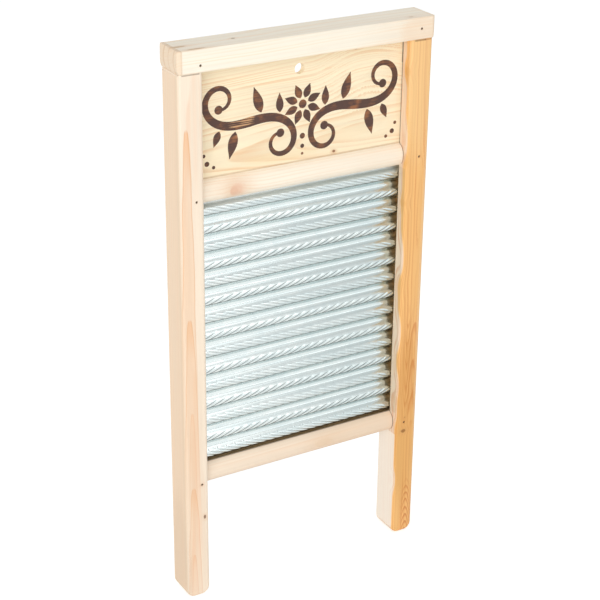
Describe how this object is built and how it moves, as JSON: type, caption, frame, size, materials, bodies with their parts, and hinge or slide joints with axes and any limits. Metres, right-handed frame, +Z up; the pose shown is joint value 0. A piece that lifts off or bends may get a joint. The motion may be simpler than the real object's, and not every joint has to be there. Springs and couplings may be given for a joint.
{
  "type": "washboard",
  "caption": "Washboard played as percussion: a ribbed metal sheet under a header board with a hanging hole, both held in the grooves of a wooden frame whose stiles end in legs.",
  "frame": {"origin": "middle of the board's width and depth, on the plane that its legs stand on", "axes": "+X across the board, to the right seen from its front; +Y from its front to its back; +Z up along the stiles"},
  "size_m": [0.22, 0.0302, 0.457],
  "materials": {
    "pale_pine": "sanded, bare",
    "heart_pine": "sanded, bare, orange heartwood",
    "cream_pine": "sanded, bare",
    "header_pine": "planed, bare, with a burned ornament",
    "galvanised_sheet": "satin, pale grey",
    "brad_steel": "darkened, matt"
  },
  "bodies": {
    "root": {"left_stile": "pale_pine", "right_stile": "heart_pine", "cap_rail": "cream_pine", "middle_rail": "cream_pine", "bottom_rail": "pale_pine", "header_board": "header_pine", "ribbed_sheet": "galvanised_sheet", "cap_brad_left": "brad_steel", "cap_brad_right": "brad_steel", "middle_brad_left": "brad_steel", "middle_brad_right": "brad_steel", "bottom_brad_left": "brad_steel", "bottom_brad_right": "brad_steel"}
  },
  "joints": []
}
